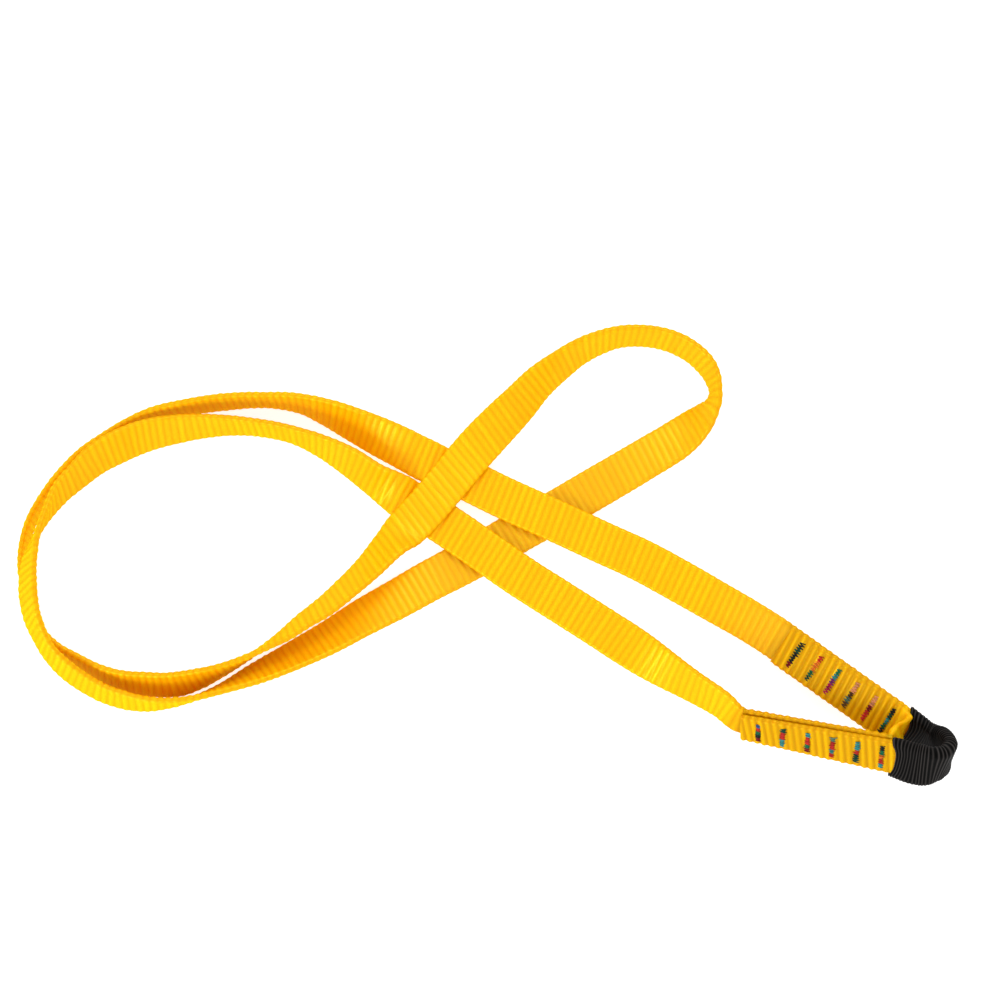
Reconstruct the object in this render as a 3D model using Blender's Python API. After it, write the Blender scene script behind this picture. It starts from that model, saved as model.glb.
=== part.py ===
"""Round sling: one length of tubular webbing, closed into a loop by a sewn end.

The strip lies as it rests on a table: a small loop on the right-hand side, a
large loop on the left, the two crossing in the middle, and the sewn end with
its sleeved eye at the right.  Lengths are in metres, Z points up and the table
is the plane Z = 0.
"""
import math

import bmesh
import bpy
import numpy as np
from mathutils import Vector

MM = 0.001

# Webbing strip
WIDTH = 18.0 * MM
THICKNESS = 2.8 * MM
GAP = 0.3 * MM
PLY_OFFSET = (THICKNESS + GAP) / 2

# Heights of the three layers where the strip crosses itself
LAYER_1 = 1.4
LAYER_2 = 4.5
LAYER_3 = 7.6

# Sewn legs: start and end of the middle of the two plies (x, y, z in mm) and
# the lean of the strip away from upright, towards +Y, in degrees
UPPER_LEG = ((125.4, -37.3, 7.9, 63.7), (169.1, -70.4, 14.2, 60.0))
LOWER_LEG = ((107.4, -71.3, 13.2, 22.5), (167.2, -84.7, 22.8, 38.0))

# Bar tacks: distance of each from the open end of its leg, and their size
UPPER_TACKS = (7.2, 16.4, 25.6, 34.8, 44.0, 52.4)
LOWER_TACKS = (7.4, 17.7, 28.0, 38.3, 48.4, 58.6)
TACK_LENGTH = 12.6 * MM
TACK_WIDTH = 2.4 * MM
TACK_HEIGHT = 0.7 * MM
STITCH_WIDTH = 0.9 * MM

# Sleeve on the eye: a thin tube of narrow webbing around the outer ply
SLEEVE_WALL = 0.7 * MM
SLEEVE_EASE = 0.5 * MM
SLEEVE_EAR = 2.0 * MM

# Stations of the strip's middle line: x, y, z in mm and roll in degrees.
# Roll 0 or 180 is flat on the table; 90 or 270 is standing on edge.
UTURN = [
    (171.3, -73.7, 16.9, 46),
    (171.6, -76.8, 19.2, 88),
    (170.7, -80.6, 21.5, 130),
]

TOWARDS_LEFT = [
    (99, -63, 12.4, 117),
    (87, -55, 10.2, 125),
    (75, -47, 7.6, 142),
    (62, -38, 5.2, 166),
    (50, -30, LAYER_2, 180),
    (33, -19, LAYER_2, 180),
    (16, -8, LAYER_2, 180),
    (-1, 4, LAYER_2, 180),
    (-17, 15, LAYER_2, 180),
    (-30, 23.5, LAYER_2, 180),
    (-37.5, 28, 6.3, 150),
    (-45, 32.5, 7.6, 130),
    (-55, 39.5, 8.7, 122),
    (-68.5, 47, 9, 107),
    (-81.5, 52, 9, 98),
    (-94, 54.5, 9, 97),
    (-106, 55.5, 9, 101),
    (-119, 55, 9.3, 109),
    (-129, 53.5, 10.2, 116),
    (-139, 51, 12, 121),
]

LEFT_OUTER = [
    (-151, 45.5, 15.5, 124),
    (-161, 39, 18, 118),
    (-168.5, 31.5, 19.8, 109),
    (-175, 24, 22, 100),
    (-180, 14.5, 24.8, 86),
    (-184, 3, 27.6, 75),
    (-186, -7, 28.5, 65),
    (-186, -18, 28.4, 62),
    (-184, -29.5, 26.6, 66),
    (-179, -40.5, 21.6, 72),
    (-172, -48.5, 16.5, 71),
    (-164.5, -54, 12.6, 72),
    (-157, -58, 10.2, 74),
    (-148, -61, 9.1, 76),
    (-139, -62.5, 9, 82),
    (-128, -62, 9, 91),
    (-118.5, -60, 9, 98),
    (-108.5, -56.5, 9, 106),
    (-92, -49, 7.7, 126),
    (-75, -40.5, 6.5, 140),
    (-63, -34, 5.6, 148),
    (-50, -26, 4.5, 158),
    (-34, -17, 3.3, 167),
    (-22, -10, 2.7, 172),
]

UNDERPASS = [
    (-11, -4, 1.6, 179),
    (0, 2, LAYER_1, 180),
    (16, 11.5, LAYER_1, 180),
    (33, 21, LAYER_1, 180),
    (49, 30.5, LAYER_1, 180),
]

FAR_BIGHT = [
    (61, 37.5, 2, 177),
    (71, 43.5, 2.4, 174),
    (81, 49.5, 3.2, 168),
    (88, 54.5, 5, 154),
    (94, 60, 7.4, 131),
    (98, 66, 8.8, 107),
    (99, 71.5, 9, 97),
    (97, 78.5, 9, 101),
    (92.5, 84.5, 9, 103),
    (85, 90, 9, 103),
    (75.5, 93.5, 9, 102),
    (67, 94.5, 9, 102),
    (58.5, 94, 9, 103),
    (50, 91.5, 8.9, 107),
    (41.5, 87.5, 8.6, 113),
    (33, 81.5, 8.3, 121),
    (24, 74, 8.5, 131),
    (16, 65, 9, 144),
]

OVERPASS = [
    (7.5, 56, 9.6, 157),
    (-0.5, 47.5, 9.2, 170),
    (-7.5, 39.5, 8, 178),
    (-14, 31.5, LAYER_3, 180),
    (-25, 18.5, LAYER_3, 180),
    (-30.5, 12.5, 7.9, 184),
]

LEFT_INNER = [
    (-38, 5, 9.4, 214),
    (-47.5, -5.5, 8.9, 226),
    (-56.5, -14, 8.4, 232),
    (-65, -21.5, 8.6, 236),
    (-73.5, -27.5, 8.9, 242),
    (-82, -34, 9.1, 249),
    (-90, -39, 9.1, 258),
    (-96, -42.5, 9.1, 262),
    (-109, -49, 9.1, 275),
    (-117, -52, 9, 285),
    (-127, -54.5, 9, 293),
    (-138, -54.5, 9, 293),
    (-150, -53, 9, 289),
    (-159, -49.5, 9, 283),
    (-167.5, -45, 9, 281),
    (-175, -40.5, 9, 278),
    (-181, -34.5, 9, 275),
    (-185, -26, 9, 272),
    (-188.5, -18, 9, 270),
    (-191, -9, 9, 270),
    (-191.5, 1.5, 9, 272),
    (-189, 13.5, 9, 273),
    (-183.5, 24.5, 9, 274),
    (-176, 35, 9, 274),
    (-168, 43, 9, 272),
    (-159.5, 49, 9, 271),
    (-150.5, 54.5, 9, 269),
]

TOWARDS_RIGHT = [
    (-138.5, 60, 9, 267),
    (-126, 63, 9, 266),
    (-110, 65.5, 9, 265),
    (-93, 66.5, 9, 267),
    (-77, 65, 9, 259),
    (-64, 60.5, 8.9, 243),
    (-53, 55.5, 8.6, 228),
    (-43.5, 51, 7.9, 215),
    (-34, 46.5, 6.8, 205),
    (-26, 42.5, 5.3, 196),
    (-17.5, 38.5, LAYER_2, 180),
    (-9, 34.5, LAYER_2, 180),
    (8, 26, LAYER_2, 180),
    (33, 14.5, LAYER_2, 180),
    (50, 6.5, LAYER_2, 180),
    (67, -1.5, 4.9, 184),
    (83, -10.5, 5.6, 193),
    (100, -20.5, 6.2, 201),
    (111, -27, 6.6, 205),
]

EYE = [
    (177.3, -73.8, 13.2, 236),
    (181.8, -76, 13, 248),
    (185.5, -77.9, 13.6, 252),
    (188.4, -80.2, 15.8, 258),
    (189.7, -83.2, 19.4, 267),
    (189.1, -86.4, 23.2, 279),
    (186.6, -88.9, 26, 292),
    (182.6, -90, 27, 304),
    (177.8, -89.4, 26.2, 311),
]

# Fold lines: two points on each hinge axis (mm).  The strip is cut in the
# upright plane through the axis, and the loop beyond it folds upwards.
LEFT_FOLD = ((-45.2, -28.8, 17.6), (-45.2, 51.2, 17.6))
FAR_FOLD = ((18.4, 67.9, 18.6), (49.4, 30.7, 6.6))
SEWN_FOLD = ((79.3, -7.7, 9.6), (62.1, -37.5, 9.6))


# ---------------------------------------------------------------- geometry
def leg_stations(leg, side, outwards):
    """Stations of one ply along a sewn leg, parallel to the leg's middle."""
    start, end = (np.array(p) for p in leg)
    length = np.linalg.norm(end[:3] - start[:3])
    heading = (end[:3] - start[:3]) / length
    if not outwards:
        heading = -heading
    level = np.cross((0, 0, 1), heading)
    level /= np.linalg.norm(level)
    rise = np.cross(heading, level)
    stations = []
    for along in (0.0, 2.0, 14.0, 28.0, 42.0, length - 2.0, length):
        x, y, z, lean = start + (end - start) * along / length
        roll = 90 - lean if outwards else 90 + lean
        if side == "outer":
            roll += 180
        angle = math.radians(roll)
        face = math.sin(angle) * level - math.cos(angle) * rise
        x, y, z = np.array((x, y, z)) - face * PLY_OFFSET / MM
        stations.append((x, y, z, roll))
    return stations if outwards else stations[::-1]


def even_slope(slope):
    """Slopes at the knots that never overshoot, so flat spans stay flat."""
    before, after = slope[:-1], slope[1:]
    same_way = before * after > 0
    total = np.where(same_way, before + after, 1.0)
    return np.where(same_way, 2 * before * after / total, 0.0)


def smooth_curve(stations, per_mm=5):
    """Fine samples of a smooth curve that passes through every station."""
    knots = np.array(stations, dtype=float)
    chord = np.linalg.norm(np.diff(knots[:, :3], axis=0), axis=1)
    slope = np.diff(knots, axis=0) / chord[:, None]
    tangent = np.empty_like(knots)
    tangent[0] = slope[0]
    tangent[-1] = slope[-1]
    before, after = chord[:-1, None], chord[1:, None]
    tangent[1:-1] = (slope[:-1] * after + slope[1:] * before) / (before + after)
    tangent[1:-1, 2:] = even_slope(slope[:, 2:])
    samples = []
    for i, span in enumerate(chord):
        count = max(2, int(round(span * per_mm)))
        u = (np.arange(count) / count)[:, None]
        samples.append(
            (2 * u**3 - 3 * u**2 + 1) * knots[i]
            + (u**3 - 2 * u**2 + u) * span * tangent[i]
            + (3 * u**2 - 2 * u**3) * knots[i + 1]
            + (u**3 - u**2) * span * tangent[i + 1]
        )
    samples.append(knots[-1:])
    return np.concatenate(samples)


class Strip:
    """The strip's middle line with the frame carried along it."""

    def __init__(self, stations):
        fine = smooth_curve(stations)
        points = fine[:, :3] * MM
        steps = np.linalg.norm(np.diff(points, axis=0), axis=1)
        self.arc = np.concatenate([[0.0], np.cumsum(steps)])
        heading = np.gradient(points, axis=0)
        heading /= np.linalg.norm(heading, axis=1)[:, None]
        level = np.cross((0.0, 0.0, 1.0), heading)
        level /= np.linalg.norm(level, axis=1)[:, None]
        rise = np.cross(heading, level)
        roll = np.radians(fine[:, 3])[:, None]
        self.points = points
        self.heading = heading
        self.across = np.cos(roll) * level + np.sin(roll) * rise
        self.face = np.sin(roll) * level - np.cos(roll) * rise

    def sample(self, table, arc):
        return np.array([np.interp(arc, self.arc, table[:, k]) for k in range(3)])

    def place(self, arc, across, height):
        """Point at a distance along, across and above the middle line."""
        return (
            self.sample(self.points, arc)
            + across * self.sample(self.across, arc)
            + height * self.sample(self.face, arc)
        )

    def nearest(self, point, low, high):
        """Distance along the strip, between two limits, nearest a point."""
        span = (self.arc >= low) & (self.arc <= high)
        away = np.linalg.norm(self.points[span] - np.array(point) * MM, axis=1)
        return self.arc[span][int(np.argmin(away))]

    def ring_arcs(self, start, end, longest=7.0 * MM, bend=math.radians(8)):
        """Distances at which rings are needed: closer together in bends."""
        arcs = [start]
        i = int(np.searchsorted(self.arc, start))
        last = i
        while self.arc[i] < end - 0.5 * MM:
            turned = math.acos(min(1.0, float(self.heading[i] @ self.heading[last])))
            rolled = math.acos(min(1.0, float(self.across[i] @ self.across[last])))
            if self.arc[i] - arcs[-1] >= longest or max(turned, rolled) >= bend:
                arcs.append(float(self.arc[i]))
                last = i
            i += 1
        if end - arcs[-1] < 0.3 * MM:
            arcs.pop()
        arcs.append(end)
        return arcs


def flat_tube(width, thickness, arc_points=3):
    """Outline of a flattened tube: two flat faces joined by round edges."""
    radius = thickness / 2
    straight = width / 2 - radius
    outline = []
    for side in (1, -1):
        for k in range(arc_points + 1):
            angle = math.pi / 2 - math.pi * k / arc_points
            x = side * (straight + radius * math.cos(angle))
            outline.append((x, side * radius * math.sin(angle)))
    return outline


def new_object(name, bm, material, smooth=True):
    bmesh.ops.recalc_face_normals(bm, faces=bm.faces)
    mesh = bpy.data.meshes.new(name)
    bm.to_mesh(mesh)
    bm.free()
    obj = bpy.data.objects.new(name, mesh)
    bpy.context.scene.collection.objects.link(obj)
    mesh.materials.append(material)
    if smooth:
        mesh.shade_smooth()
        mesh.set_sharp_from_angle(angle=math.radians(35))
    return obj


def make_material(name, colour, roughness):
    material = bpy.data.materials.new(name)
    material.use_nodes = True
    shader = material.node_tree.nodes["Principled BSDF"]
    shader.inputs["Base Color"].default_value = (*colour, 1.0)
    shader.inputs["Roughness"].default_value = roughness
    shader.inputs["Metallic"].default_value = 0.0
    material.diffuse_color = (*colour, 1.0)
    return material


def skin_rings(bm, rings, capped=True):
    """Join rings of points into a skin, closing the two ends if asked."""
    rows = [[bm.verts.new(Vector(p)) for p in ring] for ring in rings]
    count = len(rows[0])
    for low, high in zip(rows, rows[1:]):
        for k in range(count):
            bm.faces.new((low[k], low[(k + 1) % count], high[(k + 1) % count], high[k]))
    if capped:
        bm.faces.new(rows[0][::-1])
        bm.faces.new(rows[-1])
    return rows


def trim(bm, point, normal):
    """Remove everything on the normal's side of a plane and close the cut."""
    geometry = bm.verts[:] + bm.edges[:] + bm.faces[:]
    result = bmesh.ops.bisect_plane(
        bm,
        geom=geometry,
        dist=1e-7,
        plane_co=Vector(point),
        plane_no=Vector(normal),
        clear_outer=True,
    )
    edges = [e for e in result["geom_cut"] if isinstance(e, bmesh.types.BMEdge)]
    bmesh.ops.edgeloop_fill(bm, edges=edges)


def fold_plane(fold, keep_towards):
    """Cutting plane of a fold, half a gap back from the hinge axis."""
    a, b = (Vector(p) * MM for p in fold)
    along = b - a
    normal = along.cross(Vector((0, 0, 1))).normalized()
    if normal.dot(Vector(keep_towards) * MM - a) > 0:
        normal = -normal
    return a - normal * GAP / 2, normal


def webbing_piece(name, strip, arcs, cuts, material):
    """Length of webbing with rings at the given distances, trimmed at folds."""
    outline = flat_tube(WIDTH, THICKNESS)
    bm = bmesh.new()
    rings = [[strip.place(arc, x, z) for x, z in outline] for arc in arcs]
    skin_rings(bm, rings)
    for point, normal in cuts:
        trim(bm, point, normal)
    return new_object(name, bm, material)


def tack_frame(leg, along):
    """Middle, heading, across and face directions of a leg at one tack."""
    start, end = (np.array(p) for p in leg)
    heading = end[:3] - start[:3]
    length = np.linalg.norm(heading)
    heading /= length
    x, y, z, lean = start + (end - start) * along / length
    level = np.cross((0, 0, 1), heading)
    level /= np.linalg.norm(level)
    rise = np.cross(heading, level)
    angle = math.radians(90 - lean)
    across = math.cos(angle) * level + math.sin(angle) * rise
    face = math.sin(angle) * level - math.cos(angle) * rise
    return np.array((x, y, z)) * MM, heading, across, face


def prism(bm, frame, profile, half_length):
    """Solid with a profile in (heading, face), extruded both ways across."""
    middle, heading, across, face = frame
    ends = []
    for side in (-half_length, half_length):
        ring = [middle + u * heading + v * face + side * across for u, v in profile]
        ends.append(ring)
    skin_rings(bm, ends)


def make_tack(name, leg, along, material):
    """Bar tack: a bar on each outside face joined through both plies."""
    u = TACK_WIDTH / 2
    s = STITCH_WIDTH / 2
    inside = THICKNESS + GAP / 2 + GAP
    outside = inside + TACK_HEIGHT
    right = [(s, inside), (u, inside), (u, outside)]
    profile = right + [(-x, y) for x, y in right[::-1]]
    profile += [(-x, -y) for x, y in right] + [(x, -y) for x, y in right[::-1]]
    bm = bmesh.new()
    prism(bm, tack_frame(leg, along), profile, TACK_LENGTH / 2)
    return new_object(name, bm, material, smooth=False)


def cut_slots(ply):
    """Open a slot through a ply for the stitches of every bar tack."""
    bm = bmesh.new()
    u = STITCH_WIDTH / 2 + GAP
    v = 2 * THICKNESS
    box = [(u, v), (-u, v), (-u, -v), (u, -v)]
    half = TACK_LENGTH / 2 + GAP
    for leg, places in ((UPPER_LEG, UPPER_TACKS), (LOWER_LEG, LOWER_TACKS)):
        for along in places:
            prism(bm, tack_frame(leg, along), box, half)
    cutter = new_object("slot_cutter", bm, ply.data.materials[0], smooth=False)
    modifier = ply.modifiers.new("slots", "BOOLEAN")
    modifier.operation = "DIFFERENCE"
    modifier.solver = "EXACT"
    modifier.object = cutter
    graph = bpy.context.evaluated_depsgraph_get()
    slotted = bpy.data.meshes.new_from_object(ply.evaluated_get(graph))
    ply.modifiers.clear()
    slotted.name = ply.name
    ply.data = slotted
    slotted.set_sharp_from_angle(angle=math.radians(35))
    bpy.data.objects.remove(cutter, do_unlink=True)


def make_sleeve(name, strip, arcs, material):
    """Open tube around the outer ply; its mouths run out to pointed ears."""
    width, depth = WIDTH + 2 * SLEEVE_EASE, THICKNESS + 2 * SLEEVE_EASE
    inner = flat_tube(width, depth, arc_points=4)
    outer_width = width + 2 * SLEEVE_WALL
    outer = flat_tube(outer_width, depth + 2 * SLEEVE_WALL, arc_points=4)
    start, end = arcs[0], arcs[-1]
    bm = bmesh.new()
    skins = []
    for outline in (outer, inner):
        rings = []
        for arc in arcs:
            ends = min(1.0, (arc - start) / (8 * MM)), min(1.0, (end - arc) / (8 * MM))
            ring = []
            for x, z in outline:
                ear = SLEEVE_EAR * (abs(x) / (outer_width / 2)) ** 3
                shift = ear * ((1 - ends[1]) - (1 - ends[0]))
                ring.append(strip.place(arc + shift, x, z))
            rings.append(ring)
        skins.append(skin_rings(bm, rings, capped=False))
    for row in (0, -1):
        out, inn = skins[0][row], skins[1][row]
        count = len(out)
        for k in range(count):
            j = (k + 1) % count
            bm.faces.new((out[k], out[j], inn[j], inn[k]))
    return new_object(name, bm, material)


def add_pivot(name, fold):
    """Empty on a hinge axis, its X pointing along the axis."""
    a, b = (Vector(p) * MM for p in fold)
    pivot = bpy.data.objects.new(name, None)
    pivot.empty_display_size = 0.02
    pivot.location = (a + b) / 2
    pivot.rotation_euler = (b - a).to_track_quat("X", "Z").to_euler()
    bpy.context.scene.collection.objects.link(pivot)
    return pivot


# ---------------------------------------------------------------- assembly
def build():
    for obj in list(bpy.data.objects):
        bpy.data.objects.remove(obj, do_unlink=True)

    yellow = make_material("webbing_yellow", (0.95, 0.52, 0.01), 0.75)
    black = make_material("sleeve_black", (0.02, 0.02, 0.022), 0.8)

    runs = (
        leg_stations(UPPER_LEG, "inner", True) + UTURN + leg_stations(LOWER_LEG, "inner", False),
        TOWARDS_LEFT + LEFT_OUTER + UNDERPASS + FAR_BIGHT + OVERPASS,
        LEFT_INNER + TOWARDS_RIGHT,
        leg_stations(UPPER_LEG, "outer", True) + EYE + leg_stations(LOWER_LEG, "outer", False),
    )
    strip = Strip([station for run in runs for station in run])
    total = float(strip.arc[-1])

    def reach(station, low=0.0, high=total):
        return strip.nearest(station[:3], low, high)

    middle = (10.0, 15.0, 0.0)
    left = (-120.0, 0.0, 0.0)
    far = (80.0, 75.0, 0.0)
    sewn = (150.0, -80.0, 0.0)
    left_in = fold_plane(LEFT_FOLD, middle)
    left_out = fold_plane(LEFT_FOLD, left)
    far_in = fold_plane(FAR_FOLD, middle)
    far_out = fold_plane(FAR_FOLD, far)
    sewn_in = fold_plane(SEWN_FOLD, middle)
    sewn_out = fold_plane(SEWN_FOLD, sewn)

    spare = 13 * MM
    b_sewn = reach((62.1, -37.5, 5.2))
    b_left = reach((-45.2, 32.7, 7.6))
    under_left = reach((-45.2, -23.1, 5.5))
    under_far = reach((49.4, 30.7, 1.4))
    over_far = reach((18.4, 67.9, 9.7))
    over_left = reach((-45.2, -3.5, 9.0))
    a_left = reach((-45.2, 51.4, 8.0))
    a_sewn = reach((79.3, -8.2, 5.4))

    pieces = (
        ("webbing_inner_ply", 0.0, b_sewn + spare, (sewn_out,)),
        ("webbing_middle_left_bound", b_sewn - spare, b_left + spare, (sewn_in, left_in)),
        ("webbing_left_outer_turn", b_left - spare, under_left + spare, (left_out,)),
        ("webbing_middle_under", under_left - spare, under_far + spare, (left_in, far_in)),
        ("webbing_far_bight", under_far - spare, over_far + spare, (far_out,)),
        ("webbing_middle_over", over_far - spare, over_left + spare, (far_in, left_in)),
        ("webbing_left_inner_turn", over_left - spare, a_left + spare, (left_out,)),
        ("webbing_middle_right_bound", a_left - spare, a_sewn + spare, (left_in, sewn_in)),
        ("webbing_outer_ply", a_sewn - spare, total, (sewn_out,)),
    )
    made = {}
    for name, start, end, cuts in pieces:
        arcs = strip.ring_arcs(start, end)
        made[name] = webbing_piece(name, strip, arcs, cuts, yellow)
    cut_slots(made["webbing_inner_ply"])
    cut_slots(made["webbing_outer_ply"])

    sleeve_start = reach((175.8, -73, 13.4), total * 0.9)
    sleeve_end = reach((169.3, -86.4, 24.4), total * 0.9)
    inside = [arc for arc in arcs if sleeve_start < arc < sleeve_end]
    made["eye_sleeve"] = make_sleeve("eye_sleeve", strip, inside, black)

    threads = (
        ("green", (0.02, 0.16, 0.09)),
        ("teal", (0.03, 0.24, 0.26)),
        ("red", (0.50, 0.03, 0.03)),
    )
    inks = [make_material("thread_" + n, c, 0.6) for n, c in threads]
    number = 0
    for leg, places in ((UPPER_LEG, UPPER_TACKS), (LOWER_LEG, LOWER_TACKS)):
        for along in places:
            number += 1
            name = "bar_tack_%02d" % number
            made[name] = make_tack(name, leg, along, inks[number % len(inks)])

    sewn_pivot = add_pivot("pivot_sewn_end", SEWN_FOLD)
    left_pivot = add_pivot("pivot_left_loop", LEFT_FOLD)
    far_pivot = add_pivot("pivot_far_bight", FAR_FOLD)
    owners = {
        sewn_pivot: ["webbing_inner_ply", "webbing_outer_ply", "eye_sleeve"]
        + [n for n in made if n.startswith("bar_tack")],
        left_pivot: ["webbing_left_outer_turn", "webbing_left_inner_turn"],
        far_pivot: ["webbing_far_bight"],
    }
    bpy.context.view_layer.update()
    for pivot, names in owners.items():
        for name in names:
            made[name].parent = pivot
            made[name].matrix_parent_inverse = pivot.matrix_world.inverted()


build()
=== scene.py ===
"""Looks of the round sling: ribbed webbing, its sleeve and its bar tacks.

Values times MM, and all that Blender is given, are in metres; stations, spots
and folds are in millimetres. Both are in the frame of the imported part.
"""
import math

import bpy
import numpy as np
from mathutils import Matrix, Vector


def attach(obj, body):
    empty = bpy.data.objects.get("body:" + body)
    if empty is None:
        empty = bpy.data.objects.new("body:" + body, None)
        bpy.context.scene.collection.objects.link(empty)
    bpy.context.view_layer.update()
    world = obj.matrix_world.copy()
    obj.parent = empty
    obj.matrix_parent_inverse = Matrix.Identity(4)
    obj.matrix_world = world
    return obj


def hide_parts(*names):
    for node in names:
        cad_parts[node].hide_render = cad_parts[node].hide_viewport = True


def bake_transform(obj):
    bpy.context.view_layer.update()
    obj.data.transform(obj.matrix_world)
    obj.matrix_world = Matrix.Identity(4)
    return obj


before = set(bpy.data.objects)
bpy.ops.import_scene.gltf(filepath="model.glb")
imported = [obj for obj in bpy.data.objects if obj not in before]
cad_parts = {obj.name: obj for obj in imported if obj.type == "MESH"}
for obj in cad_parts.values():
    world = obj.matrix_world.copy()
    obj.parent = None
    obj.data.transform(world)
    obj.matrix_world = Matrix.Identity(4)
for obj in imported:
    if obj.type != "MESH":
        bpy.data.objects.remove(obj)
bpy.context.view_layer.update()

MM = 0.001

# Webbing. The section has FACE_POINTS across each face and EDGE_POINTS round
# each edge; a point counts as on a face above FACE_SHARE of the thickness.
WIDTH = 18.0 * MM
THICKNESS = 2.75 * MM
FACE_POINTS = 10
EDGE_POINTS = 8
FACE_SHARE = 0.3
FACE_HOLLOW = 0.10 * MM
RIB_PITCH = 3.0 * MM
RIB_HEIGHT = 0.34 * MM
RIB_SHARPNESS = 0.8
EDGE_RIB_SHARE = 0.6
RINGS_PER_RIB = 8
SEAL_LENGTH = 1.6 * MM
SEAL_PINCH = 0.25
YARN_PITCH = (0.75 * MM, 1.1 * MM)

# In mm: distance of each ply from the middle of a sewn leg, stations along a leg
# from its open end and back from its other end, and heights of the three layers
# at the crossing
PLY_OFFSET = 1.5
LEG_STOPS = (0.0, 2.0, 14.0, 28.0, 42.0)
LEG_LAST_STOP = 2.0
LAYER_1 = 1.4
LAYER_2 = 4.5
LAYER_3 = 7.6

# Sewn legs: start and end of the middle of the two plies (x, y, z in mm) and
# the lean of the strip away from upright, towards +Y, in degrees
UPPER_LEG = ((125.4, -37.3, 7.9, 63.7), (169.1, -70.4, 14.2, 60.0))
LOWER_LEG = ((107.4, -71.3, 13.2, 22.5), (167.2, -84.7, 22.8, 38.0))

# Bar tacks: distance of each from the open end of its leg, in mm
UPPER_TACKS = (7.2, 16.7, 26.0, 35.4, 44.8, 53.6)
LOWER_TACKS = (7.4, 17.7, 28.0, 38.3, 48.4, 58.6)

# Stations of the strip's middle line: x, y, z in mm and roll in degrees.
# Roll 0 or 180 is flat on the table; 90 or 270 is standing on edge.
UTURN = [
    (171.3, -73.7, 16.9, 46),
    (171.6, -76.8, 19.2, 88),
    (170.7, -80.6, 21.5, 130),
]

TOWARDS_LEFT = [
    (99, -63, 12.4, 117),
    (87, -55, 10.2, 125),
    (75, -47, 7.6, 142),
    (62, -38, 5.2, 166),
    (50, -30, LAYER_2, 180),
    (33, -19, LAYER_2, 180),
    (16, -8, LAYER_2, 180),
    (-1, 4, LAYER_2, 180),
    (-17, 15, LAYER_2, 180),
    (-30, 23.5, LAYER_2, 180),
    (-37.5, 28, 6.3, 150),
    (-45, 32.5, 7.6, 130),
    (-55, 39.5, 8.7, 122),
    (-68.5, 47, 9, 107),
    (-81.5, 52, 9, 98),
    (-94, 54.5, 9, 97),
    (-106, 55.5, 9, 101),
    (-119, 55, 9.3, 109),
    (-129, 53.5, 10.2, 116),
    (-139, 51, 12, 121),
]

LEFT_OUTER = [
    (-151, 45.5, 15.5, 124),
    (-161, 39, 18, 118),
    (-168.5, 31.5, 19.8, 109),
    (-175, 24, 22, 100),
    (-180, 14.5, 24.8, 86),
    (-184, 3, 27.6, 75),
    (-186, -7, 28.5, 65),
    (-186, -18, 28.4, 62),
    (-184, -29.5, 26.6, 66),
    (-179, -40.5, 21.6, 72),
    (-172, -48.5, 16.5, 71),
    (-164.5, -54, 12.6, 72),
    (-157, -58, 10.2, 74),
    (-148, -61, 9.1, 76),
    (-139, -62.5, 9, 82),
    (-128, -62, 9, 91),
    (-118.5, -60, 9, 98),
    (-108.5, -56.5, 9, 106),
    (-92, -49, 7.7, 126),
    (-75, -40.5, 6.5, 140),
    (-63, -34, 5.6, 148),
    (-50, -26, 4.5, 158),
    (-34, -17, 3.3, 167),
    (-22, -10, 2.7, 172),
]

UNDERPASS = [
    (-11, -4, 1.6, 179),
    (0, 2, LAYER_1, 180),
    (16, 11.5, LAYER_1, 180),
    (33, 21, LAYER_1, 180),
    (49, 30.5, LAYER_1, 180),
]

FAR_BIGHT = [
    (61, 37.5, 2, 177),
    (71, 43.5, 2.4, 174),
    (81, 49.5, 3.2, 168),
    (88, 54.5, 5, 154),
    (94, 60, 7.4, 131),
    (98, 66, 8.8, 107),
    (99, 71.5, 9, 97),
    (97, 78.5, 9, 101),
    (92.5, 84.5, 9, 103),
    (85, 90, 9, 103),
    (75.5, 93.5, 9, 102),
    (67, 94.5, 9, 102),
    (58.5, 94, 9, 103),
    (50, 91.5, 8.9, 107),
    (41.5, 87.5, 8.6, 113),
    (33, 81.5, 8.3, 121),
    (24, 74, 8.5, 131),
    (16, 65, 9, 144),
]

OVERPASS = [
    (7.5, 56, 9.6, 157),
    (-0.5, 47.5, 9.2, 170),
    (-7.5, 39.5, 8, 178),
    (-14, 31.5, LAYER_3, 180),
    (-25, 18.5, LAYER_3, 180),
    (-30.5, 12.5, 7.9, 184),
]

LEFT_INNER = [
    (-38, 5, 9.4, 214),
    (-47.5, -5.5, 8.9, 226),
    (-56.5, -14, 8.4, 232),
    (-65, -21.5, 8.6, 236),
    (-73.5, -27.5, 8.9, 242),
    (-82, -34, 9.1, 249),
    (-90, -39, 9.1, 258),
    (-96, -42.5, 9.1, 262),
    (-109, -49, 9.1, 275),
    (-117, -52, 9, 285),
    (-127, -54.5, 9, 293),
    (-138, -54.5, 9, 293),
    (-150, -53, 9, 289),
    (-159, -49.5, 9, 283),
    (-167.5, -45, 9, 281),
    (-175, -40.5, 9, 278),
    (-181, -34.5, 9, 275),
    (-185, -26, 9, 272),
    (-188.5, -18, 9, 270),
    (-191, -9, 9, 270),
    (-191.5, 1.5, 9, 272),
    (-189, 13.5, 9, 273),
    (-183.5, 24.5, 9, 274),
    (-176, 35, 9, 274),
    (-168, 43, 9, 272),
    (-159.5, 49, 9, 271),
    (-150.5, 54.5, 9, 269),
]

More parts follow.
